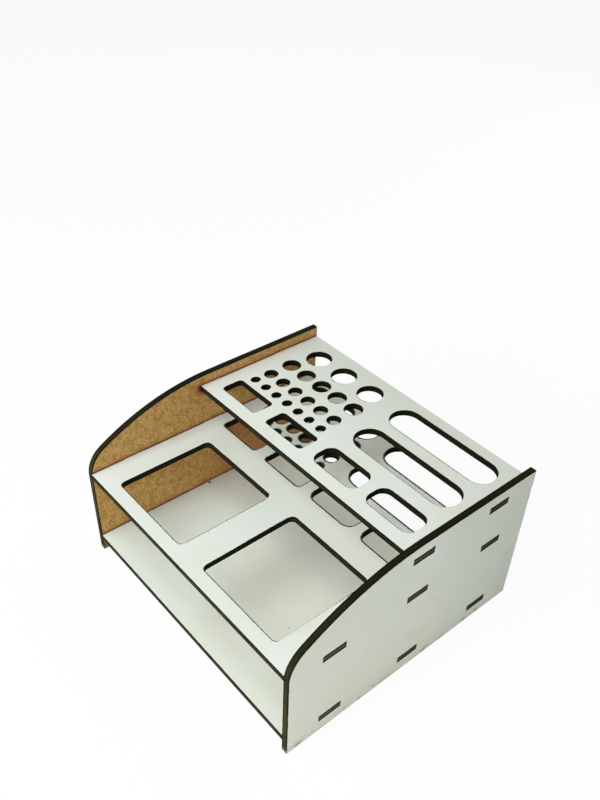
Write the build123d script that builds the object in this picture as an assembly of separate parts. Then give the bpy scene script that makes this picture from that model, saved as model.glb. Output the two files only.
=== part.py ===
from build123d import *
import os

# Desk organizer for hobby tools: five laser-cut boards joined by tabs in slots.
# X runs left to right, Y front to back, Z up. The origin is at the middle of the
# footprint, on the surface that the two side panels stand on. Millimetres.

# Sheet and joints
board = 3.0             # thickness of every board
tab_width = 10.8        # a shelf's tab, measured along the depth
tab_count = 3           # tabs on each end of a full-depth shelf
slot_play = 0.05        # clearance on each side of a tab in its slot
slot_end_play = 0.1     # clearance at each end of a tab in its slot

# Heights, from the table up
foot_gap = 6.4          # table to the underside of the base shelf
lower_bay = 35.3        # clear height between base and middle shelf
upper_bay = 18.7        # clear height between middle and top shelf
upstand = 5.4           # side panels above the top shelf

# Curved top edge of the side panels
sweep_drop = 20.9       # fall of the curve from the level part to the front edge
nose_radius = 15.0      # rounding where the curve meets the front edge

# Rectangular tool slots in a row behind the top shelf's front edge
small_slot_length = 24.1
small_slot_depth = 10.6
small_slot_radius = 1.9
small_slot_gap = 7.3    # web between the two small slots
large_slot_length = 26.2
large_slot_depth = 12.7
large_slot_radius = 4.6
large_slot_gap = 5.6    # web between the two large slots

# Margins of the tool openings
side_web = 7.0          # side panel to the first opening
middle_web = 6.5        # left group of openings to the right group
front_web = 6.9         # top shelf's front edge to the slots
back_web = 6.0          # rear obround to the back edge

# Rows of round holes, front to back: diameter, web to the next hole, and the share
# that the web in front takes of the depth left between the holes
hole_rows = [
    (4.3, 3.4, 0.222),
    (6.4, 2.5, 0.209),
    (8.6, 2.3, 0.307),
    (12.3, 5.6, 0.235),
]
holes_shift = -0.5      # middle of the rows, from the middle of the two small slots

# Two long round-ended openings behind the large slots
obround_width = 15.1
obround_front_web = 8.0  # large slots to the front obround
obround_web = 6.6        # between the two obrounds

# Two square windows in the front half of the middle shelf
window_radius = 2.5
front_rail = 6.7        # front edge to the windows
cross_rail = 13.1       # windows to the row of slots
centre_rail = 15.1      # between the windows
side_rail = 12.7        # window to the side panel

# Sizes that follow
left_field = 2 * small_slot_length + small_slot_gap
right_field = 2 * large_slot_length + large_slot_gap
inner_width = side_web + left_field + middle_web + right_field + side_web
width = inner_width + 2 * board

openings_depth = large_slot_depth + obround_front_web + 2 * obround_width + obround_web
holes_free_depth = openings_depth - small_slot_depth - sum(row[0] for row in hole_rows)
top_depth = front_web + openings_depth + back_web
depth = 2 * top_depth - tab_width

base_top = foot_gap + board
middle_top = base_top + lower_bay + board
top_top = middle_top + upper_bay + board
height = top_top + upstand

inner_x = inner_width / 2
front_y = -depth / 2
back_y = depth / 2
tab_pitch = depth / tab_count
tab_centres = [front_y + (i + 0.5) * tab_pitch for i in range(tab_count)]
top_front_y = back_y - top_depth
base_back_y = tab_centres[-1] + tab_width / 2     # the base shelf ends with its last tabs
slots_y = top_front_y + front_web
left_x = -inner_x + side_web
right_x = inner_x - side_web


def rounded_opening(x_low, y_low, length, opening_depth, radius):
    """A rectangular opening with rounded corners, placed by its low corner."""
    shape = RectangleRounded(length, opening_depth, radius)
    return Pos(x_low + length / 2, y_low + opening_depth / 2) * shape


def slot_row():
    """The four rectangular slots that share one front line."""
    openings = []
    for i in range(2):
        x = left_x + i * (small_slot_length + small_slot_gap)
        openings.append(rounded_opening(x, slots_y, small_slot_length, small_slot_depth, small_slot_radius))
    for i in range(2):
        x = right_x - right_field + i * (large_slot_length + large_slot_gap)
        openings.append(rounded_opening(x, slots_y, large_slot_length, large_slot_depth, large_slot_radius))
    return openings


def round_holes():
    """Four rows of round holes that grow towards the back, each as long as its field allows."""
    openings = []
    centre_x = left_x + left_field / 2 + holes_shift
    y = slots_y + small_slot_depth
    for diameter, web, front_share in hole_rows:
        pitch = diameter + web
        count = int((left_field - diameter) // pitch) + 1
        y += front_share * holes_free_depth + diameter / 2
        for i in range(count):
            x = centre_x + (i - (count - 1) / 2) * pitch
            openings.append(Pos(x, y) * Circle(diameter / 2))
        y += diameter / 2
    return openings


def obrounds():
    """The two long round-ended openings."""
    openings = []
    y = slots_y + large_slot_depth + obround_front_web + obround_width / 2
    for i in range(2):
        shape = SlotOverall(right_field, obround_width)
        openings.append(Pos(right_x - right_field / 2, y + i * (obround_width + obround_web)) * shape)
    return openings


def windows():
    """The two windows that turn the middle shelf's front half into trays."""
    length = inner_x - side_rail - centre_rail / 2
    window_y = front_y + front_rail
    window_depth = slots_y - cross_rail - window_y
    return [
        rounded_opening(-inner_x + side_rail, window_y, length, window_depth, window_radius),
        rounded_opening(centre_rail / 2, window_y, length, window_depth, window_radius),
    ]


def shelf(top_z, start_y, end_y, openings):
    """A level board between the side panels, with the tabs that lie between its front and back edge."""
    outline = Pos(0, (start_y + end_y) / 2) * Rectangle(inner_width, end_y - start_y)
    for y in tab_centres:
        if y > start_y:
            outline += Pos(0, y) * Rectangle(width, tab_width)
    for opening in openings:
        outline -= opening
    return Pos(0, 0, top_z - board) * extrude(outline, board)


def panel_outline():
    """Side view of a side panel: level at the back, a long arc down to a rounded front."""
    front_top = height - sweep_drop
    edges = [
        Line((front_y, 0), (back_y, 0)),
        Line((back_y, 0), (back_y, height)),
        Line((back_y, height), (0, height)),
        TangentArc((0, height), (front_y, front_top), tangent=(-1, 0)),
        Line((front_y, front_top), (front_y, 0)),
    ]
    outline = make_face(edges)
    nose = outline.vertices().sort_by_distance((front_y, front_top, 0))[0]
    return fillet(nose, nose_radius)


def side_panel(low_x):
    """An upright board with a slot for every tab that reaches it; low_x is its left face."""
    outline = panel_outline()
    slot = Rectangle(tab_width + 2 * slot_end_play, board + 2 * slot_play)
    for shelf_top, start_y in ((base_top, front_y), (middle_top, front_y), (top_top, top_front_y)):
        for y in tab_centres:
            if y > start_y:
                outline -= Pos(y, shelf_top - board / 2) * slot
    upright = Plane(origin=(low_x, 0, 0), x_dir=(0, 1, 0), z_dir=(1, 0, 0))
    return extrude(upright * outline, board)


def tool_openings():
    """The openings that the middle and the top shelf share, one above the other."""
    return slot_row() + round_holes() + obrounds()


parts = {
    "left_side_panel": side_panel(-width / 2),
    "right_side_panel": side_panel(inner_x),
    "base_shelf": shelf(base_top, front_y, base_back_y, []),
    "middle_shelf": shelf(middle_top, front_y, back_y, tool_openings() + windows()),
    "top_shelf": shelf(top_top, top_front_y, back_y, tool_openings()),
}

os.makedirs("parts", exist_ok=True)
for name, shape in parts.items():
    export_step(shape, f"parts/{name}.step")
    size = shape.bounding_box().size
    print(f"{name:18s} {size.X:7.2f} {size.Y:7.2f} {size.Z:6.2f} mm  {shape.volume / 1000:7.2f} cm3")
print(f"overall {width:.1f} x {depth:.1f} x {height:.1f} mm")
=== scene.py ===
# %% [markdown]
# # A desk organizer cut from hardboard
# Five boards of 3 mm hardboard stand together with tabs in slots. Each board is white
# laminate on one side and bare brown fibre on the other, and a laser has scorched every
# cut edge nearly black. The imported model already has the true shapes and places, so it
# comes in first as a frame that is never moved. Everything below is a finish laid over it.

# %% Load the frame
import bpy
import bmesh
import math
from mathutils import Vector, Matrix
from mathutils.kdtree import KDTree


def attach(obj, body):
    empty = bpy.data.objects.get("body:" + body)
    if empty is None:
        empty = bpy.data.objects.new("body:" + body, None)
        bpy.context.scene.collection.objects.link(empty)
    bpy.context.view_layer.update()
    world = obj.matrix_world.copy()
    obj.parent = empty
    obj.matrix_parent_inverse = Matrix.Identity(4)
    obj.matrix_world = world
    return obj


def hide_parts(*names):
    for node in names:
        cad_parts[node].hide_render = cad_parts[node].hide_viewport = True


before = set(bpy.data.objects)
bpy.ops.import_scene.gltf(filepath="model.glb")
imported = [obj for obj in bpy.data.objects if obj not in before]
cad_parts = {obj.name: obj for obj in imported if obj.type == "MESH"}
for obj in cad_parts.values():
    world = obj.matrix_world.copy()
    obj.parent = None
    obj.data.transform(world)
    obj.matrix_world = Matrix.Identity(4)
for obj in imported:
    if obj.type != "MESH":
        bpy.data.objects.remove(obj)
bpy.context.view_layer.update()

mm = 0.001
print("frame:", sorted(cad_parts))

# %% [markdown]
# ## One colour function and one node function
# Colours are written the way a paint chart gives them, as sRGB hex. Shaders count in
# linear light, so one function converts them. Another adds a shader node with its
# settings and its inputs, where an input is either a value or another node's output.
# Most sockets go by name. Maths nodes call theirs all alike, and so does the node that
# mixes two colours, so those go by number, and the numbers of the colour mix get names.

# %% Colour and node helpers
share, under, over, blended = 0, 6, 7, 2    # a colour mix: its share, its two colours and its result


def hex_colour(code):
    """An sRGB hex code as a linear RGBA colour."""
    channels = [int(code[i:i + 2], 16) / 255 for i in (1, 3, 5)]
    return (*[c / 12.92 if c <= 0.04045 else ((c + 0.055) / 1.055) ** 2.4 for c in channels], 1)


def add(tree, kind, settings, inputs):
    """Adds one node. Inputs go by socket name or number, to a value or another node's output."""
    node = tree.nodes.new(kind)
    for name, value in settings.items():
        setattr(node, name, value)
    for key, value in inputs.items():
        if isinstance(value, bpy.types.NodeSocket):
            tree.links.new(value, node.inputs[key])
        else:
            node.inputs[key].default_value = value
    return node


print("helpers ready")

# %% [markdown]
# ## An empty material and a ruler
# Every finish starts from the same two things: a Principled shader joined to the output,
# and the place on the object counted in millimetres. With that ruler, a noise scale of
# 1 / 5 gives blotches of 5 mm, so each pattern can be set from a size on the real board.
# The ruler reads Object coordinates, which stay put when the camera moves.

# %% Material and ruler
def new_material(name):
    """An empty node material with a Principled shader joined to its output."""
    material = bpy.data.materials.new(name)
    material.use_nodes = True
    tree = material.node_tree
    tree.nodes.clear()
    shader = add(tree, "ShaderNodeBsdfPrincipled", {}, {})
    add(tree, "ShaderNodeOutputMaterial", {}, {"Surface": shader.outputs["BSDF"]})
    return material, tree, shader


def millimetres(tree, scale=(1, 1, 1), turn=(0, 0, 0)):
    """The place on the object in millimetres, stretched by scale and turned by turn."""
    place = add(tree, "ShaderNodeTexCoord", {}, {}).outputs["Object"]
    to_mm = tuple(s / mm for s in scale)
    return add(tree, "ShaderNodeMapping", {}, {"Vector": place, "Scale": to_mm, "Rotation": turn}).outputs[0]


print("1 unit of the ruler is", mm, "m")

# %% [markdown]
# ## White laminate: the sheet
# The show side is melamine paper pressed onto the board: smooth, hard, a little glossy
# and not quite white. One flat white would look like plastic film, so a slow noise lets
# it drift between a cool and a warm white over a few centimetres. Hands have left faint
# patches on it, and the laser a few specks of soot.

# %% Sheet colour
def sheet_colour(tree, place, cool, warm):
    """The sheet's colour with its patches and specks, and how smudged each point is."""
    # Slow drift: blotches about 45 mm across between a cool and a warm white.
    drift = add(tree, "ShaderNodeTexNoise", {},
                {"Vector": place, "Scale": 1 / 45, "Detail": 3.0, "Roughness": 0.5})
    tone = add(tree, "ShaderNodeMapRange", {},
               {"Value": drift.outputs["Fac"], "From Min": 0.35, "From Max": 0.65})
    colour = add(tree, "ShaderNodeMix", {"data_type": "RGBA"},
                 {share: tone.outputs[0], under: hex_colour(cool), over: hex_colour(warm)}).outputs[blended]

    # Smudges: faint patches about 16 mm across, where hands have been.
    handled = add(tree, "ShaderNodeTexNoise", {},
                  {"Vector": place, "Scale": 1 / 16, "Detail": 4.0, "Distortion": 0.6})
    smudge = add(tree, "ShaderNodeMapRange", {"interpolation_type": "SMOOTHSTEP"},
                 {"Value": handled.outputs["Fac"], "From Min": 0.52, "From Max": 0.75, "To Max": 0.25})
    colour = add(tree, "ShaderNodeMix", {"data_type": "RGBA"},
                 {share: smudge.outputs[0], under: colour, over: hex_colour("#CDCDBD")}).outputs[blended]

    # Specks of soot: one point every 6 mm, kept small and only where a second value allows.
    dots = add(tree, "ShaderNodeTexVoronoi", {}, {"Vector": place, "Scale": 1 / 6})
    dot = add(tree, "ShaderNodeMapRange", {},
              {"Value": dots.outputs["Distance"], "From Min": 0.07, "From Max": 0.03})
    lot = add(tree, "ShaderNodeSeparateColor", {}, {"Color": dots.outputs["Color"]})
    chosen = add(tree, "ShaderNodeMath", {"operation": "GREATER_THAN"}, {0: lot.outputs[0], 1: 0.90})
    speck = add(tree, "ShaderNodeMath", {"operation": "MULTIPLY"}, {0: dot.outputs[0], 1: chosen.outputs[0]})
    colour = add(tree, "ShaderNodeMix", {"data_type": "RGBA"},
                 {share: speck.outputs[0], under: colour, over: hex_colour("#8C7E66")}).outputs[blended]
    return colour, smudge.outputs[0]


print("sheet colour ready")

# %% [markdown]
# ## White laminate: painted shade, grime and a burn
# The sheet is painted greyer towards the back, as painted shade where the light falls off.
# The foot of a panel picks up grime from the table, a shelf's ends beside the panels stay
# clean, and the beam has burnt one spot.
# Each of these is one more colour laid over the sheet, by a share that depends on the
# place alone, so that it stays where it is when the object is turned.

# %% Painted shade and dirt on the sheet
def shaded_and_soiled(tree, place, axes, colour, back_shade, foot_grime, clean_from, burn):
    """Lays over a colour what a board has of these: painted shade towards the back, grime along the
    foot, clean ends further out than clean_from, and a burn mark at the point burn."""
    # Painted shade: the sheet turns greyer towards the back, where the light falls off.
    back_shade_share = add(tree, "ShaderNodeMapRange", {},
                {"Value": axes.outputs["Y"], "From Min": 5.0, "From Max": 65.0, "To Max": back_shade})
    colour = add(tree, "ShaderNodeMix", {"data_type": "RGBA"},
                 {share: back_shade_share.outputs[0], under: colour, over: hex_colour("#B0B7A9")}).outputs[blended]

    # Grime in the last 5 mm above the table, in marks about 7 mm long.
    if foot_grime:
        low = add(tree, "ShaderNodeMapRange", {},
                  {"Value": axes.outputs["Z"], "From Min": 5.0, "From Max": 0.5})
        marks = add(tree, "ShaderNodeTexNoise", {},
                    {"Vector": place, "Scale": 1 / 7, "Detail": 4.0, "Roughness": 0.6})
        mark = add(tree, "ShaderNodeMapRange", {"interpolation_type": "SMOOTHSTEP"},
                   {"Value": marks.outputs["Fac"], "From Min": 0.50, "From Max": 0.62, "To Max": foot_grime})
        grime = add(tree, "ShaderNodeMath", {"operation": "MULTIPLY"},
                    {0: low.outputs[0], 1: mark.outputs[0]})
        colour = add(tree, "ShaderNodeMix", {"data_type": "RGBA"},
                     {share: grime.outputs[0], under: colour, over: hex_colour("#8E7C5A")}).outputs[blended]

    # Fingers don't reach a shelf's ends, so over 16 mm the sheet turns as white as when new.
    if clean_from:
        sideways = add(tree, "ShaderNodeMath", {"operation": "ABSOLUTE"}, {0: axes.outputs["X"]})
        end = add(tree, "ShaderNodeMapRange", {"interpolation_type": "SMOOTHSTEP"},
                  {"Value": sideways.outputs[0], "From Min": clean_from, "From Max": clean_from + 16.0,
                   "To Max": 0.55})
        colour = add(tree, "ShaderNodeMix", {"data_type": "RGBA"},
                     {share: end.outputs[0], under: colour, over: hex_colour("#E2EFEC")}).outputs[blended]

    # One burn mark a little over 1 mm across, where the beam dwelt.
    if burn:
        off = add(tree, "ShaderNodeVectorMath", {"operation": "DISTANCE"}, {0: place, 1: burn})
        burnt = add(tree, "ShaderNodeMapRange", {"interpolation_type": "SMOOTHSTEP"},
                    {"Value": off.outputs["Value"], "From Min": 1.0, "From Max": 0.4})
        colour = add(tree, "ShaderNodeMix", {"data_type": "RGBA"},
                     {share: burnt.outputs[0], under: colour, over: hex_colour("#3A1A0A")}).outputs[blended]
    return colour


print("dirt ready")

# %% [markdown]
# ## White laminate: the smoke line
# Right at a cut, smoke leaves a dark line on the white. It follows the rim and no fixed
# direction, so a pattern in space can't draw it. The mesh carries it instead: a narrow
# strip along each rim, with an attribute that falls from 1 on the cut to 0 inside. The
# laser ran slower towards the back of the middle shelf, and there the line is wider than
# the strip, so that shelf also carries the distance of each point from its openings.

# %% Smoke line
narrow_until, wide_from = -12.0, 2.0    # in mm, front to back: the line grows between these two


def smoke_line(tree, place, axes, smoke_front, smoke_back, wide_smoke):
    """How dark the smoke is at each point, from 0 to 1."""
    rim = add(tree, "ShaderNodeAttribute", {"attribute_name": "rim"}, {})
    reach = add(tree, "ShaderNodeMapRange", {},
                {"Value": axes.outputs["Y"], "From Min": narrow_until, "From Max": wide_from,
                 "To Min": smoke_front, "To Max": smoke_back})
    reached = add(tree, "ShaderNodeMath", {"operation": "ADD"}, {0: rim.outputs["Fac"], 1: reach.outputs[0]})

    # A noise of 1.5 mm frays the line's inner side.
    ragged = add(tree, "ShaderNodeTexNoise", {}, {"Vector": place, "Scale": 1 / 1.5, "Detail": 2.0})
    frayed = add(tree, "ShaderNodeMath", {"operation": "MULTIPLY_ADD"},
                 {0: ragged.outputs["Fac"], 1: 0.5, 2: reached.outputs[0]})
    smoke = add(tree, "ShaderNodeMapRange", {"interpolation_type": "SMOOTHSTEP"},
                {"Value": frayed.outputs[0], "From Min": 1.36, "From Max": 1.56})
    if not wide_smoke:
        return smoke.outputs[0]

    # The wide line counts millimetres from the cut. In front its width is below zero, which leaves none.
    off_rim = add(tree, "ShaderNodeAttribute", {"attribute_name": "smoke_distance"}, {})
    width = add(tree, "ShaderNodeMapRange", {},
                {"Value": axes.outputs["Y"], "From Min": narrow_until, "From Max": wide_from,
                 "To Min": -0.6, "To Max": wide_smoke})
    beyond = add(tree, "ShaderNodeMath", {"operation": "SUBTRACT"},
                 {0: off_rim.outputs["Fac"], 1: width.outputs[0]})
    wandering = add(tree, "ShaderNodeMath", {"operation": "MULTIPLY_ADD"},
                    {0: ragged.outputs["Fac"], 1: 0.6, 2: beyond.outputs[0]})
    band = add(tree, "ShaderNodeMapRange", {"interpolation_type": "SMOOTHSTEP"},
               {"Value": wandering.outputs[0], "From Min": 0.50, "From Max": 0.10})
    wider = add(tree, "ShaderNodeMath", {"operation": "MAXIMUM"}, {0: smoke.outputs[0], 1: band.outputs[0]})
    return wider.outputs[0]


print("smoke line grows from", narrow_until, "to", wide_from, "mm")

# %% [markdown]
# ## White laminate: gloss and relief
# Melamine is about 0.4 rough. Where hands have been it is duller, and soot is duller
# still, so the same shares that tint the sheet also roughen it. Its relief is very
# shallow: a soft pebbling from the press, and hairline scratches cut into it. The four
# white surfaces have seen different use, so each gets its own whites, smoke and dirt, and
# the panels and the top also get painted shade towards the back.

# %% Laminate material
def laminate(name, cool, warm, smoke_front, smoke_back, wide_smoke=0.0,
             back_shade=0.0, foot_grime=0.0, clean_from=None, burn=None):
    """Melamine-faced board. cool and warm are its two whites. smoke_front and smoke_back are the shares of
    the rim strip that are dark, and wide_smoke is how wide the line is round the rear openings, in
    millimetres. The rest is what soiled lays over the sheet."""
    material, tree, shader = new_material(name)
    place = millimetres(tree)
    axes = add(tree, "ShaderNodeSeparateXYZ", {}, {"Vector": place})
    colour, smudge = sheet_colour(tree, place, cool, warm)
    colour = shaded_and_soiled(tree, place, axes, colour, back_shade, foot_grime, clean_from, burn)
    smoke = smoke_line(tree, place, axes, smoke_front, smoke_back, wide_smoke)
    colour = add(tree, "ShaderNodeMix", {"data_type": "RGBA"},
                 {share: smoke, under: colour, over: hex_colour("#2B281D")}).outputs[blended]

    dull = add(tree, "ShaderNodeMath", {"operation": "MULTIPLY_ADD"}, {0: smudge, 1: 0.35, 2: 0.42})
    duller = add(tree, "ShaderNodeMath", {"operation": "MULTIPLY_ADD"},
                 {0: smoke, 1: 0.40, 2: dull.outputs[0]})

    # Scratches: noise stretched 40 to 1 along one direction leaves hairlines about 0.4 mm wide.
    streaks = millimetres(tree, scale=(1 / 40, 1, 1), turn=(0.3, 0.2, 0.9))
    hairs = add(tree, "ShaderNodeTexNoise", {}, {"Vector": streaks, "Scale": 1 / 0.8, "Detail": 1.0})
    scratch = add(tree, "ShaderNodeMapRange", {},
                  {"Value": hairs.outputs["Fac"], "From Min": 0.73, "From Max": 0.78})

    # Pebbling about 1.2 mm across, 0.03 mm deep.
    pebbles = add(tree, "ShaderNodeTexNoise", {}, {"Vector": place, "Scale": 1 / 1.2, "Detail": 2.0})
    relief = add(tree, "ShaderNodeMath", {"operation": "MULTIPLY_ADD"},
                 {0: scratch.outputs[0], 1: -0.5, 2: pebbles.outputs["Fac"]})
    bump = add(tree, "ShaderNodeBump", {},
               {"Height": relief.outputs[0], "Strength": 0.25, "Distance": 0.03 * mm})

    tree.links.new(colour, shader.inputs["Base Color"])
    tree.links.new(duller.outputs[0], shader.inputs["Roughness"])
    tree.links.new(bump.outputs[0], shader.inputs["Normal"])
    shader.inputs["IOR"].default_value = 1.5
    return material


burn_place = (-66.1, -4.3, 9.4)     # in mm, beside the left panel, on the base shelf

# The panels and the top are painted greyer towards the back, as painted shade.
panel_white = laminate("white_laminate_panels", "#DDE4D8", "#DDE0CF", 0.45, 0.45, back_shade=0.4, foot_grime=0.7)
base_white = laminate("white_laminate_base", "#D4E0D9", "#D4DCCF", 0.45, 0.45, burn=burn_place)
middle_white = laminate("white_laminate_middle", "#D8E2DA", "#D9DFD5", 0.68, 0.95,
                        wide_smoke=0.85, clean_from=50.0)
top_white = laminate("white_laminate_top", "#DAE2DA", "#DADED1", 0.55, 0.55, back_shade=0.45)
print("made", [m.name for m in (panel_white, base_white, middle_white, top_white)])

# %% [markdown]
# ## Where the shelves meet the panels
# On the brown side of a panel, a thin red-brown line runs along each shelf, where smoke
# was pressed into the corner. The shader needs to know how far a point lies from the end
# of a shelf. Every shelf is a box, and the distance to a box takes four steps of vector
# arithmetic: go from its middle, drop the sign, take off half its size, and measure what
# is left above zero. The boxes come from the frame. The top shelf stops short of the
# panel's front, and at its front corner the slot's start has burnt a dark red stain.

# %% Boxes and distance
def box_of(node):
    """The low and high corner of a CAD node, in millimetres."""
    points = [v.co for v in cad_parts[node].data.vertices]
    low, high = [Vector([pick(p[axis] for p in points) for axis in range(3)]) for pick in (min, max)]
    return low / mm, high / mm


def distance_to_box(tree, place, low, high):
    """How far a point lies outside a box, in millimetres."""
    from_middle = add(tree, "ShaderNodeVectorMath", {"operation": "SUBTRACT"},
                      {0: place, 1: (low + high) / 2})
    unsigned = add(tree, "ShaderNodeVectorMath", {"operation": "ABSOLUTE"}, {0: from_middle.outputs[0]})
    beyond = add(tree, "ShaderNodeVectorMath", {"operation": "SUBTRACT"},
                 {0: unsigned.outputs[0], 1: (high - low) / 2})
    clear = add(tree, "ShaderNodeVectorMath", {"operation": "MAXIMUM"}, {0: beyond.outputs[0], 1: (0, 0, 0)})
    return add(tree, "ShaderNodeVectorMath", {"operation": "LENGTH"}, {0: clear.outputs[0]}).outputs["Value"]


shelf_boxes = [box_of(node) for node in ("base_shelf", "middle_shelf", "top_shelf")]
top_low, top_high = shelf_boxes[2]
stain_low = Vector((top_low.x, top_low.y - 0.6, top_low.z + 1.2))
stain_high = Vector((top_high.x, top_low.y + 0.6, top_high.z - 0.4))
print("shelf tops at", [round(high.z, 1) for low, high in shelf_boxes], "mm")

# %% [markdown]
# ## Bare hardboard: the felt
# The other side is pressed wood fibre: a warm brown felt of short fibres, mottled darker
# and lighter every couple of millimetres and quite matt. Four patterns of falling size
# make it: the tone of the board, clumps, tufts, and a few dark flakes of bark.

# %% Felted fibre
def felted_fibre(tree, place):
    """The bare board's colour, and the tufts that its relief comes from."""
    # Board tone: patches about 25 mm across.
    patches = add(tree, "ShaderNodeTexNoise", {}, {"Vector": place, "Scale": 1 / 25, "Detail": 3.0})
    patch = add(tree, "ShaderNodeMapRange", {},
                {"Value": patches.outputs["Fac"], "From Min": 0.35, "From Max": 0.65})
    colour = add(tree, "ShaderNodeMix", {"data_type": "RGBA"},
                 {share: patch.outputs[0], under: hex_colour("#B99253"),
                  over: hex_colour("#B08748")}).outputs[blended]

    # Mottling: clumps about 3 mm across, with soft outlines, darker and more olive.
    clumps = add(tree, "ShaderNodeTexNoise", {},
                 {"Vector": place, "Scale": 1 / 3.2, "Detail": 3.0, "Roughness": 0.6})
    clump = add(tree, "ShaderNodeMapRange", {"interpolation_type": "SMOOTHSTEP"},
                {"Value": clumps.outputs["Fac"], "From Min": 0.58, "From Max": 0.36, "To Max": 0.85})
    colour = add(tree, "ShaderNodeMix", {"data_type": "RGBA"},
                 {share: clump.outputs[0], under: colour, over: hex_colour("#94702F")}).outputs[blended]

    # Felted fibre: real fibres are 0.1 to 0.3 mm thick; drawn as 1 mm tufts so that they show.
    felt = add(tree, "ShaderNodeTexNoise", {},
               {"Vector": place, "Scale": 1 / 1.0, "Detail": 4.0, "Roughness": 0.65})
    dark = add(tree, "ShaderNodeMapRange", {"interpolation_type": "SMOOTHSTEP"},
               {"Value": felt.outputs["Fac"], "From Min": 0.49, "From Max": 0.32, "To Max": 0.85})
    light = add(tree, "ShaderNodeMapRange", {"interpolation_type": "SMOOTHSTEP"},
                {"Value": felt.outputs["Fac"], "From Min": 0.51, "From Max": 0.68, "To Max": 0.75})
    colour = add(tree, "ShaderNodeMix", {"data_type": "RGBA"},
                 {share: dark.outputs[0], under: colour, over: hex_colour("#7A5320")}).outputs[blended]
    colour = add(tree, "ShaderNodeMix", {"data_type": "RGBA"},
                 {share: light.outputs[0], under: colour, over: hex_colour("#D6B06C")}).outputs[blended]

    # Bark flakes: one cell every 2.4 mm, of which about one in five is a dark fleck.
    cells = add(tree, "ShaderNodeTexVoronoi", {}, {"Vector": place, "Scale": 1 / 2.4, "Randomness": 1.0})
    fleck = add(tree, "ShaderNodeMapRange", {},
                {"Value": cells.outputs["Distance"], "From Min": 0.22, "From Max": 0.10})
    lot = add(tree, "ShaderNodeSeparateColor", {}, {"Color": cells.outputs["Color"]})
    chosen = add(tree, "ShaderNodeMath", {"operation": "GREATER_THAN"}, {0: lot.outputs[0], 1: 0.78})
    bark = add(tree, "ShaderNodeMath", {"operation": "MULTIPLY"}, {0: fleck.outputs[0], 1: chosen.outputs[0]})
    faint_bark = add(tree, "ShaderNodeMath", {"operation": "MULTIPLY"}, {0: bark.outputs[0], 1: 0.6})
    colour = add(tree, "ShaderNodeMix", {"data_type": "RGBA"},
                 {share: faint_bark.outputs[0], under: colour, over: hex_colour("#5A3E20")}).outputs[blended]
    return colour, felt.outputs["Fac"]


print("felt ready")

# %% [markdown]
# ## Bare hardboard: painted shade and dirt
# Low down and towards the back, under the middle shelf, the inside of a panel is painted
# redder and darker: painted shade, warmed by light bounced between the brown faces. Its foot
# is painted darker too, partly dirt and partly painted shade under the base shelf. Both
# depend only on where a point is, so two ramps along the axes place them.

# %% Painted shade and dirt on the bare board
def low_shade_and_foot_dirt(tree, place, colour):
    """Paints the low rear of the board redder and darker as painted shade, and its foot darker as dirt and
    painted shade.
    """
    axes = add(tree, "ShaderNodeSeparateXYZ", {}, {"Vector": place})
    # Painted shade: behind and below the middle shelf the board is painted redder and darker.
    behind = add(tree, "ShaderNodeMapRange", {"interpolation_type": "SMOOTHSTEP"},
                 {"Value": axes.outputs["Y"], "From Min": -5.0, "From Max": 9.0, "To Max": 0.45})
    lower = add(tree, "ShaderNodeMapRange", {},
                {"Value": axes.outputs["Z"], "From Min": 46.0, "From Max": 44.0})
    painted_shade_red = add(tree, "ShaderNodeMath", {"operation": "MULTIPLY"},
                 {0: behind.outputs[0], 1: lower.outputs[0]})
    colour = add(tree, "ShaderNodeMix", {"data_type": "RGBA"},
                 {share: painted_shade_red.outputs[0], under: colour, over: hex_colour("#8A5028")}).outputs[blended]

    # Painted shade and dirt: the lowest 7 mm are painted darker, in the shade under the base shelf.
    shade_and_dirt = add(tree, "ShaderNodeMapRange", {"interpolation_type": "SMOOTHSTEP"},
               {"Value": axes.outputs["Z"], "From Min": 7.0, "From Max": 2.0, "To Max": 0.7})
    return add(tree, "ShaderNodeMix", {"data_type": "RGBA"},
               {share: shade_and_dirt.outputs[0], under: colour, over: hex_colour("#5E5231")}).outputs[blended]


print("age ready")

# %% [markdown]
# ## Bare hardboard: heat marks
# The laser's smoke bakes a reddish brown halo into the fibre round each cut and chars the
# last half millimetre. How far a point lies from the nearest cut is worked out on the
# mesh, and the shader only turns that distance into colour. The lines along the shelves
# and the burnt spot come from the distance to a box.

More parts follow.
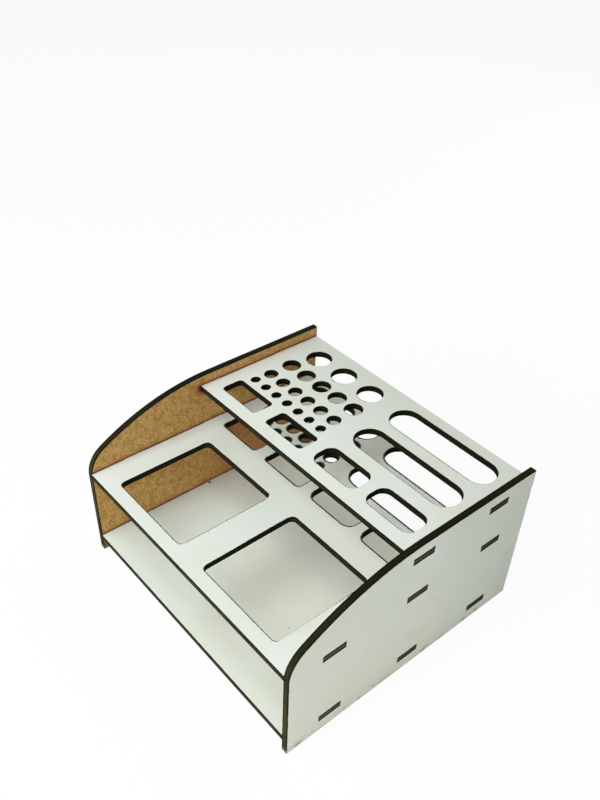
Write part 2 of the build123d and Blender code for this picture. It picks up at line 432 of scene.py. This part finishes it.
# %% Heat marks
def heat_marks(tree, place, colour, ends, stain):
    """Burns halos, charred rims, the lines along the shelves in ends and the spot in the box stain."""
    # Halo: from most at the cut to none about 2 mm away, with a wandering edge.
    far = add(tree, "ShaderNodeAttribute", {"attribute_name": "cut_distance"}, {})
    wander = add(tree, "ShaderNodeTexNoise", {}, {"Vector": place, "Scale": 1 / 3.0, "Detail": 2.0})
    shifted = add(tree, "ShaderNodeMath", {"operation": "MULTIPLY_ADD"},
                  {0: wander.outputs["Fac"], 1: 3.0, 2: far.outputs["Fac"]})
    halo = add(tree, "ShaderNodeMapRange", {"interpolation_type": "SMOOTHSTEP"},
               {"Value": shifted.outputs[0], "From Min": 3.2, "From Max": 1.2, "To Max": 0.6})
    colour = add(tree, "ShaderNodeMix", {"data_type": "RGBA"},
                 {share: halo.outputs[0], under: colour, over: hex_colour("#7A431C")}).outputs[blended]

    # Char: the last half millimetre at any rim.
    rim = add(tree, "ShaderNodeAttribute", {"attribute_name": "rim"}, {})
    char = add(tree, "ShaderNodeMapRange", {"interpolation_type": "SMOOTHSTEP"},
               {"Value": rim.outputs["Fac"], "From Min": 0.2, "From Max": 0.9})
    colour = add(tree, "ShaderNodeMix", {"data_type": "RGBA"},
                 {share: char.outputs[0], under: colour, over: hex_colour("#2E2014")}).outputs[blended]

    # Along each shelf: a line nearly 1 mm wide inside a red tinge that fades over 3 mm.
    for low, high in ends:
        off = distance_to_box(tree, place, low, high)
        tinge = add(tree, "ShaderNodeMapRange", {"interpolation_type": "SMOOTHSTEP"},
                    {"Value": off, "From Min": 3.5, "From Max": 0.5, "To Max": 0.45})
        line = add(tree, "ShaderNodeMapRange", {"interpolation_type": "SMOOTHSTEP"},
                   {"Value": off, "From Min": 1.2, "From Max": 0.6, "To Max": 0.95})
        colour = add(tree, "ShaderNodeMix", {"data_type": "RGBA"},
                     {share: tinge.outputs[0], under: colour, over: hex_colour("#8F5224")}).outputs[blended]
        colour = add(tree, "ShaderNodeMix", {"data_type": "RGBA"},
                     {share: line.outputs[0], under: colour, over: hex_colour("#642B0C")}).outputs[blended]

    # The spot: nearly black red within 1 mm, then an orange scorch that the noise pulls about.
    if stain:
        off = distance_to_box(tree, place, *stain)
        pulled = add(tree, "ShaderNodeMath", {"operation": "MULTIPLY_ADD"},
                     {0: wander.outputs["Fac"], 1: -6.0, 2: off})
        scorch = add(tree, "ShaderNodeMapRange", {"interpolation_type": "SMOOTHSTEP"},
                     {"Value": pulled.outputs[0], "From Min": 2.5, "From Max": -2.0, "To Max": 0.75})
        pit = add(tree, "ShaderNodeMapRange", {"interpolation_type": "SMOOTHSTEP"},
                  {"Value": off, "From Min": 1.6, "From Max": 0.4, "To Max": 0.95})
        colour = add(tree, "ShaderNodeMix", {"data_type": "RGBA"},
                     {share: scorch.outputs[0], under: colour, over: hex_colour("#8E5010")}).outputs[blended]
        colour = add(tree, "ShaderNodeMix", {"data_type": "RGBA"},
                     {share: pit.outputs[0], under: colour, over: hex_colour("#481403")}).outputs[blended]
    return colour


print("heat marks ready")

# %% [markdown]
# ## Bare hardboard: the material
# The three layers go over each other, and the tufts raise the surface by less than a
# tenth of a millimetre. Raw fibre scatters light, so it is rough all over. The shelves'
# undersides meet no other board, so they get no lines and no spot.

# %% Hardboard material
def hardboard(name, ends, stain=None):
    """Bare pressed fibreboard. ends are the boxes of the shelves that meet it, and stain is the box of a
    burnt spot."""
    material, tree, shader = new_material(name)
    place = millimetres(tree)
    colour, tufts = felted_fibre(tree, place)
    colour = low_shade_and_foot_dirt(tree, place, colour)
    colour = heat_marks(tree, place, colour, ends, stain)
    bump = add(tree, "ShaderNodeBump", {}, {"Height": tufts, "Strength": 0.6, "Distance": 0.08 * mm})
    tree.links.new(colour, shader.inputs["Base Color"])
    tree.links.new(bump.outputs[0], shader.inputs["Normal"])
    shader.inputs["Roughness"].default_value = 0.82
    shader.inputs["IOR"].default_value = 1.45
    return material


panel_brown = hardboard("bare_hardboard_panels", shelf_boxes, (stain_low, stain_high))
shelf_brown = hardboard("bare_hardboard_shelves", [])
print("made", panel_brown.name, "and", shelf_brown.name)

# %% [markdown]
# ## Scorched edges: what has rubbed off, and painted shade
# A laser burns its way down through the board. The edge is black at both faces, where the
# smoke rolls over it, and a dull olive brown in the core where some of the soot has come
# off. Hands have rubbed the low front edges most. The walls of the openings and the tab ends
# towards the back are painted darker, as painted shade.
# The mesh carries how deep a point lies between the faces and how far from an opening.

# %% Wear and painted shade on the edges
def core_share(tree):
    """How far inside the core a point is: 0 in the black bands at both faces, 1 between them."""
    depth = add(tree, "ShaderNodeAttribute", {"attribute_name": "through"}, {})
    off_face = add(tree, "ShaderNodeMath", {"operation": "PINGPONG"}, {0: depth.outputs["Fac"], 1: 0.5})
    core = add(tree, "ShaderNodeMapRange", {"interpolation_type": "SMOOTHSTEP"},
               {"Value": off_face.outputs[0], "From Min": 0.10, "From Max": 0.36})
    return core.outputs[0]


def rubbed_and_shaded_share(tree, place, axes, core):
    """How much of the soot on the core has been rubbed off, and less on the walls of openings as painted
    shade.
    """
    # Slow change along the cut over some 14 mm.
    pace = add(tree, "ShaderNodeTexNoise", {}, {"Vector": place, "Scale": 1 / 14, "Detail": 2.0})
    worn = add(tree, "ShaderNodeMapRange", {},
               {"Value": pace.outputs["Fac"], "From Min": 0.35, "From Max": 0.65,
                "To Min": 0.35, "To Max": 1.0})

    # From full wear at 40 mm above the table to a third of it at 72 mm.
    handled = add(tree, "ShaderNodeMapRange", {},
                  {"Value": axes.outputs["Z"], "From Min": 40.0, "From Max": 72.0,
                   "To Min": 1.0, "To Max": 0.3})
    wear = add(tree, "ShaderNodeMath", {"operation": "MULTIPLY"}, {0: worn.outputs[0], 1: handled.outputs[0]})
    bare = add(tree, "ShaderNodeMath", {"operation": "MULTIPLY"}, {0: core, 1: wear.outputs[0]})

    # Painted shade: the walls of openings, within a board's thickness of a cut's rim, keep about a third of
    # the lighter core; outer edges lie at least 6 mm away.
    far = add(tree, "ShaderNodeAttribute", {"attribute_name": "cut_distance"}, {})
    outside = add(tree, "ShaderNodeMapRange", {},
                  {"Value": far.outputs["Fac"], "From Min": 3.5, "From Max": 5.0,
                   "To Min": 0.35, "To Max": 1.0})
    rubbed = add(tree, "ShaderNodeMath", {"operation": "MULTIPLY"},
                 {0: bare.outputs[0], 1: outside.outputs[0]})
    return rubbed.outputs[0]


def tab_share(tree, axes, core, tab_from):
    """How much is rubbed off the core of a tab's end, further out than tab_from: most in front, and less
    further back as painted shade.
    """
    sideways = add(tree, "ShaderNodeMath", {"operation": "ABSOLUTE"}, {0: axes.outputs["X"]})
    tab_end = add(tree, "ShaderNodeMapRange", {},
                  {"Value": sideways.outputs[0], "From Min": tab_from, "From Max": tab_from + 0.2})
    # Painted shade: the tab ends are painted darker towards the back, where the light falls off.
    painted_falloff = add(tree, "ShaderNodeMapRange", {},
                   {"Value": axes.outputs["Y"], "From Min": -40.0, "From Max": 45.0,
                    "To Min": 1.0, "To Max": 0.45})
    bare = add(tree, "ShaderNodeMath", {"operation": "MULTIPLY"}, {0: core, 1: painted_falloff.outputs[0]})
    tab = add(tree, "ShaderNodeMath", {"operation": "MULTIPLY"}, {0: tab_end.outputs[0], 1: bare.outputs[0]})
    return tab.outputs[0]


print("wear ready")

# %% [markdown]
# ## Scorched edges: the material
# The beam leaves fine grooves that run straight from one face to the other. They are
# noise squeezed flat along the board's own thickness, so shelves and panels need the
# same finish in two directions. Soot swallows light, so the edge is matt and reflects
# hardly anything.

# %% Edge material
def scorched(name, through_axis, tab_from=1000.0):
    """Laser-cut edge. through_axis is 0 for boards pierced along X and 2 for boards pierced along Z. Tabs
    end further out along X than tab_from, in millimetres."""
    material, tree, shader = new_material(name)
    squeeze = [1.0, 1.0, 1.0]
    squeeze[through_axis] = 0.05
    along = millimetres(tree, scale=squeeze)
    place = millimetres(tree)
    axes = add(tree, "ShaderNodeSeparateXYZ", {}, {"Vector": place})

    # Real grooves are about 0.2 mm apart; drawn 0.7 mm apart so that they show.
    grooves = add(tree, "ShaderNodeTexNoise", {},
                  {"Vector": along, "Scale": 1 / 0.7, "Detail": 3.0, "Roughness": 0.6})
    colour = add(tree, "ShaderNodeMix", {"data_type": "RGBA"},
                 {share: grooves.outputs["Fac"], under: hex_colour("#080803"),
                  over: hex_colour("#15140A")}).outputs[blended]

    core = core_share(tree)
    colour = add(tree, "ShaderNodeMix", {"data_type": "RGBA"},
                 {share: rubbed_and_shaded_share(tree, place, axes, core), under: colour,
                  over: hex_colour("#2E2C16")}).outputs[blended]
    colour = add(tree, "ShaderNodeMix", {"data_type": "RGBA"},
                 {share: tab_share(tree, axes, core, tab_from), under: colour,
                  over: hex_colour("#5A5242")}).outputs[blended]

    # The lowest 3 mm stand on the table, which has rubbed them back to a muddy brown.
    foot = add(tree, "ShaderNodeMapRange", {"interpolation_type": "SMOOTHSTEP"},
               {"Value": axes.outputs["Z"], "From Min": 3.0, "From Max": 0.0, "To Max": 0.8})
    colour = add(tree, "ShaderNodeMix", {"data_type": "RGBA"},
                 {share: foot.outputs[0], under: colour, over: hex_colour("#6B6040")}).outputs[blended]

    bump = add(tree, "ShaderNodeBump", {},
               {"Height": grooves.outputs["Fac"], "Strength": 0.5, "Distance": 0.08 * mm})
    tree.links.new(colour, shader.inputs["Base Color"])
    tree.links.new(bump.outputs[0], shader.inputs["Normal"])
    shader.inputs["Roughness"].default_value = 0.9
    shader.inputs["Specular IOR Level"].default_value = 0.05
    return material


panel_edge = scorched("scorched_edge_panels", 0)
shelf_edge = scorched("scorched_edge_shelves", 2, tab_from=69.0)
print("made", panel_edge.name, "and", shelf_edge.name)

# %% [markdown]
# ## Working the rims
# A cut board isn't perfectly sharp: the arris is burnt back by about a tenth of a
# millimetre. Bevelling the loose triangles of an imported mesh would be fiddly. Instead
# each flat side is pushed in by the chamfer, and inset and raised again by the same
# amount, which leaves a clean 45 degree band all round and round each opening. A second,
# flat inset makes the narrow strip that carries the smoke line.

# %% Chamfer and smoke strip
arris = 0.12 * mm
strip = 0.7 * mm


def work_side(bm, normal):
    """Chamfers one flat side of a board and insets a strip along its rims. Returns side and strip."""
    bm.normal_update()
    flat = [f for f in bm.faces if f.normal.dot(normal) > 0.999]
    flat_verts = list({v for f in flat for v in f.verts})
    bmesh.ops.translate(bm, verts=flat_verts, vec=-arris * normal)
    bmesh.ops.inset_region(bm, faces=flat, thickness=arris, depth=arris,
                           use_even_offset=True, use_boundary=True)
    stripped = bmesh.ops.inset_region(bm, faces=flat, thickness=strip, depth=0,
                                      use_even_offset=True, use_boundary=True)["faces"]
    return flat, stripped


print(f"arris {arris / mm:.2f} mm, strip {strip / mm:.2f} mm")

# %% [markdown]
# ## A grid to hold distances
# The heat halo needs a distance, and a distance needs points to be stored on. The big
# brown triangles have none inside, so planes slice them into a grid of 2 mm. Subdividing
# would follow the long thin triangles and leave them as uneven as they are.

# %% Slicing a side
grid_step = 2.0 * mm


def slice_side(bm, faces, normal):
    """Cuts flat faces into a square grid and returns every face that they became."""
    layer = bm.faces.layers.int["sliced"]
    for f in faces:
        f[layer] = 1
    for axis in range(3):
        direction = Vector([1.0 if i == axis else 0.0 for i in range(3)])
        if abs(normal.dot(direction)) > 0.5:
            continue
        marked = [f for f in bm.faces if f[layer]]
        values = [v.co[axis] for f in marked for v in f.verts]
        count = int((max(values) - min(values)) / grid_step)
        for i in range(1, count + 1):
            marked = [f for f in bm.faces if f[layer]]
            edges = {e for f in marked for e in f.edges}
            verts = {v for f in marked for v in f.verts}
            place = min(values) + i * grid_step
            bmesh.ops.bisect_plane(bm, geom=marked + list(edges) + list(verts), dist=1e-7,
                                   plane_co=direction * place, plane_no=direction)
    pieces = [f for f in bm.faces if f[layer]]
    for f in pieces:
        f[layer] = 0
    return pieces


print(f"grid {grid_step / mm:.0f} mm")

# %% [markdown]
# ## How far each point is from a cut
# The rims of the openings are found by walking along the border edges of the flat side.
# The longest chain is the board's outline, which gets no halo, only its charred rim. A
# search tree filled with points along the other chains then answers, for each grid
# point, which cut is nearest.

# %% Rims and search tree
rim_step = 0.5 * mm


def rim_loops(bm, faces):
    """The rims round a set of faces, as closed chains of points, longest first."""
    inside = set(faces)
    border = {e for f in faces for e in f.edges if sum(g in inside for g in e.link_faces) == 1}
    loops = []
    while border:
        edge = border.pop()
        chain, tip = [edge.verts[0], edge.verts[1]], edge.verts[1]
        while True:
            onward = next((e for e in tip.link_edges if e in border), None)
            if onward is None:
                break
            border.remove(onward)
            tip = onward.other_vert(tip)
            chain.append(tip)
        loops.append([v.co.copy() for v in chain])
    return sorted(loops, key=lambda c: -sum((a - b).length for a, b in zip(c, c[1:])))


def distance_tree(loops):
    """A search tree of points every half millimetre along some rims."""
    points = []
    for loop in loops:
        for a, b in zip(loop, loop[1:]):
            steps = max(1, int((b - a).length / rim_step))
            points += [a.lerp(b, k / steps) for k in range(steps)]
    tree = KDTree(len(points))
    for i, point in enumerate(points):
        tree.insert(point, i)
    tree.balance()
    return tree


print(f"a rim point every {rim_step / mm} mm")

# %% [markdown]
# ## What the shaders need to know
# A shader can't see where a rim is, so the mesh stores it in attributes: rim for the
# smoke line, through for the place between the two faces, cut_distance for the halo, and
# smoke_distance for the wide line. The smoke was drawn off along the bed, so a shelf's
# line is strong on rims that face front or back and weaker on those that face sideways.
# A shelf's ends, where they meet a panel, have none.

# %% Storing the attributes
panel_inside = min(abs(v.co.x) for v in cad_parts["right_side_panel"].data.vertices)
halo_reach = 12.0 * mm      # no distance beyond this is stored
sideways_smoke = 0.3        # share of the smoke left on rims that face sideways
sideways_width = 0.35       # and the share of the wide line's width


def middle_of(verts):
    """The middle of some vertices."""
    return sum((v.co for v in verts), Vector()) / len(verts)


def store_rim(bm, face, inner, white_strip):
    """Stores rim: 1 on the cuts and 0 on the vertices inside the strips."""
    rim = bm.verts.layers.float["rim"]
    for v in bm.verts:
        v[rim] = 0.0 if v in inner else 1.0
    for f in white_strip if face.z else []:
        outer = [v for v in f.verts if v not in inner]
        way = (middle_of(outer) - middle_of([v for v in f.verts if v in inner])).normalized()
        for v in outer:
            at_panel = abs(v.co.x) > panel_inside - strip
            v[rim] = 0.0 if at_panel else sideways_smoke + (1 - sideways_smoke) * abs(way.y)


def store_depth(bm, face, near):
    """Stores through, from 0 on the white side to 1 on the bare one, and cut_distance in millimetres."""
    through, distance = bm.verts.layers.float["through"], bm.verts.layers.float["cut_distance"]
    levels = [v.co.dot(face) for v in bm.verts]
    low, high = min(levels), max(levels)
    for v in bm.verts:
        v[through] = (high - v.co.dot(face)) / (high - low)
        v[distance] = min(halo_reach, near.find(v.co)[2] if near else halo_reach) / mm


def store_smoke(bm, face, near):
    """Stores smoke_distance in millimetres. The rims lie on the bare side, so it is measured down there."""
    smoke_distance = bm.verts.layers.float.new("smoke_distance")
    low = min(v.co.dot(face) for v in bm.verts)
    for v in bm.verts:
        below = v.co - face * (v.co.dot(face) - low)
        rim_point, _, off = near.find(below)
        width = sideways_width + (1 - sideways_width) * abs((rim_point - below).normalized().y)
        v[smoke_distance] = min(halo_reach, off / width) / mm


print(f"shelves end at the panels, {panel_inside / mm:.1f} mm out")

# %% [markdown]
# ## Dressing a board
# One function turns a CAD node into its finished board. It merges a copy of the node's
# triangles, works both sides, gives each face its material and stores the attributes.
# White and brown go on the two sides, and all that isn't flat is scorched. The finished
# mesh then takes the CAD node's place on the body.

# %% Board function
white_slot, brown_slot, edge_slot = 0, 1, 2     # the order of each board's materials


def board_object(bm, node, materials):
    """Makes the worked bmesh the object that stands for its CAD node."""
    mesh = bpy.data.meshes.new(node + "_board")
    bm.to_mesh(mesh)
    bm.free()
    for name in ("sliced", "custom_normal"):
        if name in mesh.attributes:
            mesh.attributes.remove(mesh.attributes[name])
    mesh.shade_smooth()
    mesh.set_sharp_from_angle(angle=math.radians(25))
    for material in materials:
        mesh.materials.append(material)
    board = bpy.data.objects.new(node + "_board", mesh)
    bpy.context.scene.collection.objects.link(board)
    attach(board, "root")
    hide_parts(node)
    return board


def dress(node, face, materials, smoky=False):
    """Builds the finished board that stands for one CAD node. face is where its white side looks, and smoky
    measures that side too, for a wide smoke line."""
    face = Vector(face)
    bm = bmesh.new()
    bm.from_mesh(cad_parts[node].data)
    bmesh.ops.remove_doubles(bm, verts=bm.verts, dist=0.001 * mm)
    bm.faces.layers.int.new("sliced")
    for name in ("rim", "through", "cut_distance"):
        bm.verts.layers.float.new(name)
    for f in bm.faces:
        f.material_index = edge_slot
    white, white_strip = work_side(bm, face)
    bare, bare_strip = work_side(bm, -face)
    for f in white + white_strip:
        f.material_index = white_slot
    for f in bare + bare_strip:
        f.material_index = brown_slot

    outline, *openings = rim_loops(bm, bare + bare_strip)
    near = distance_tree(openings) if openings else None
    bare = slice_side(bm, bare, -face)
    if smoky:
        white = slice_side(bm, white, face)
    inner = {v for f in white + bare for v in f.verts}
    store_rim(bm, face, inner, white_strip)
    store_depth(bm, face, near)
    if smoky:
        store_smoke(bm, face, near)

    board = board_object(bm, node, materials)
    print(f"{board.name}: {len(board.data.polygons)} faces, {len(openings)} openings")


# %% [markdown]
# ## The five boards
# The side panels show their white side outwards, and the shelves show it upwards. That
# leaves brown fibre inside the panels and under the shelves, as on the real thing.

# %% Side panels
leftwards, rightwards, upwards = (-1, 0, 0), (1, 0, 0), (0, 0, 1)
dress("left_side_panel", leftwards, [panel_white, panel_brown, panel_edge])
dress("right_side_panel", rightwards, [panel_white, panel_brown, panel_edge])

# %% Shelves
dress("base_shelf", upwards, [base_white, shelf_brown, shelf_edge])
dress("middle_shelf", upwards, [middle_white, shelf_brown, shelf_edge], smoky=True)
dress("top_shelf", upwards, [top_white, shelf_brown, shelf_edge])

# %% [markdown]
# ## Floor and background
# The organizer stands on plain white. The floor is a real surface that catches a shadow,
# but to the camera most of its light is its own, so that it stays white without extra
# lamps on the object.

# %% Floor
own_light = 0.93        # share of the floor's look that is its own white, to the camera alone


def white_ground():
    """A matt white floor that the camera sees as nearly pure white."""
    material, tree, shader = new_material("white_ground")
    shader.inputs["Base Color"].default_value = hex_colour("#E6E6E6")
    shader.inputs["Roughness"].default_value = 0.9
    paint = add(tree, "ShaderNodeTexNoise", {}, {"Scale": 6.0})
    bump = add(tree, "ShaderNodeBump", {}, {"Height": paint.outputs["Fac"], "Strength": 0.02, "Distance": mm})
    tree.links.new(bump.outputs[0], shader.inputs["Normal"])
    glow = add(tree, "ShaderNodeEmission", {}, {"Strength": 1.0})
    rays = add(tree, "ShaderNodeLightPath", {}, {})
    seen = add(tree, "ShaderNodeMath", {"operation": "MULTIPLY"},
               {0: rays.outputs["Is Camera Ray"], 1: own_light})
    mixed = add(tree, "ShaderNodeMixShader", {},
                {0: seen.outputs[0], 1: shader.outputs[0], 2: glow.outputs[0]})
    output = next(n for n in tree.nodes if n.type == "OUTPUT_MATERIAL")
    tree.links.new(mixed.outputs[0], output.inputs["Surface"])
    return material


floor_mesh = bpy.data.meshes.new("ground")
bm = bmesh.new()
bmesh.ops.create_grid(bm, x_segments=1, y_segments=1, size=6.0)
bm.to_mesh(floor_mesh)
bm.free()
floor_mesh.materials.append(white_ground())
ground = bpy.data.objects.new("ground", floor_mesh)
bpy.context.scene.collection.objects.link(ground)
print("floor laid")

# %% [markdown]
# ## The sky
# An even white sky fills the shadows. It is weak as a light, but the camera and
# reflections see it at full white, so that the background is white without more light
# on the object.

# %% Sky
sky_strength = 0.18

world = bpy.data.worlds.new("even_sky")
bpy.context.scene.world = world
world.use_nodes = True
sky = world.node_tree
sky.nodes.clear()
rays = add(sky, "ShaderNodeLightPath", {}, {})
shown = add(sky, "ShaderNodeMath", {"operation": "MAXIMUM"},
            {0: rays.outputs["Is Camera Ray"], 1: rays.outputs["Is Glossy Ray"]})
shown_too = add(sky, "ShaderNodeMath", {"operation": "MAXIMUM"},
                {0: shown.outputs[0], 1: rays.outputs["Is Transmission Ray"]})
level = add(sky, "ShaderNodeMapRange", {},
            {"Value": shown_too.outputs[0], "To Min": sky_strength, "To Max": 1.0})
light = add(sky, "ShaderNodeBackground", {}, {"Color": (1, 1, 1, 1), "Strength": level.outputs[0]})
add(sky, "ShaderNodeOutputWorld", {}, {"Surface": light.outputs[0]})
print("sky at", sky_strength)

# %% [markdown]
# ## Lamps
# The light in the picture is broad and soft: tops are brightest, the right side is a
# little darker and falls off towards the back, and nothing throws a hard shadow. Yet the
# base under the middle shelf is nearly as bright as the top, so much of the light comes
# in low. Wide low lamps in front and behind do that, and one high in front lights the
# tops. Weak ones at the right, at the left and high behind keep every side readable.

# %% Lamps
middle = (0.0, 0.0, 0.04)       # what every lamp looks at


def lamp(name, place, size, watts):
    """A square area lamp at place, size wide, all in metres."""
    data = bpy.data.lights.new(name, "AREA")
    data.shape = "SQUARE"
    data.size = size
    data.energy = watts
    lamp_object = bpy.data.objects.new(name, data)
    bpy.context.scene.collection.objects.link(lamp_object)
    lamp_object.visible_camera = False
    lamp_object.location = place
    lamp_object.rotation_mode = "QUATERNION"
    lamp_object.rotation_quaternion = (Vector(middle) - Vector(place)).to_track_quat("-Z", "Y")


lamp("front_low", (0.05, -0.75, 0.22), 0.5, 9.1)
lamp("front_high", (-0.05, -0.35, 0.75), 0.5, 2.6)
lamp("right_low", (0.55, -0.60, 0.16), 0.5, 1.2)
lamp("left_front", (-0.60, -0.50, 0.45), 0.5, 1.2)
lamp("behind_low", (0.0, 0.75, 0.14), 0.5, 2.6)
lamp("behind_high", (0.10, 0.80, 0.60), 0.6, 1.5)
print("lamps set")

# %% [markdown]
# ## Camera
# The camera looks down at 40 degrees from the front right corner, as the picture does.
# Its place, turn, roll and lens were solved from the straight edges in the picture. The
# picture was cropped off-centre, which a small lens shift repeats.

# %% Lens
focal_px = 840.16
centre_px = (313.90, 448.90)
image_px = (600, 800)

camera_data = bpy.data.cameras.new("view")
camera_data.sensor_width = 36.0
camera_data.lens = focal_px / max(image_px) * camera_data.sensor_width
camera_data.shift_x = (image_px[0] / 2 - centre_px[0]) / max(image_px)
camera_data.shift_y = (centre_px[1] - image_px[1] / 2) / max(image_px)
camera_data.clip_start = 0.01
camera_data.clip_end = 50.0
print(f"lens {camera_data.lens:.2f} mm")

# %% Camera
camera_place = (0.1990, -0.1773, 0.29937)
azimuth = math.radians(47.4368)
elevation = math.radians(40.2479)
roll = math.radians(2.9437)

forward = Vector((-math.sin(azimuth) * math.cos(elevation),
                  math.cos(azimuth) * math.cos(elevation),
                  -math.sin(elevation)))
right = Vector((math.cos(azimuth), math.sin(azimuth), 0))
up = right.cross(forward)
turned_right = math.cos(roll) * right + math.sin(roll) * up
turned_up = turned_right.cross(forward)
turn = Matrix((turned_right, turned_up, -forward)).transposed().to_4x4()

camera = bpy.data.objects.new("view", camera_data)
bpy.context.scene.collection.objects.link(camera)
camera.matrix_world = Matrix.Translation(camera_place) @ turn
bpy.context.scene.camera = camera
bpy.context.scene.view_settings.view_transform = "Standard"
print("camera at", camera_place)

# %% [markdown]
# ## Sizes
# The finished boards must fill the same box as the CAD model. Here the scene is brought up
# to date.

# %% Update the scene
bpy.context.view_layer.update()
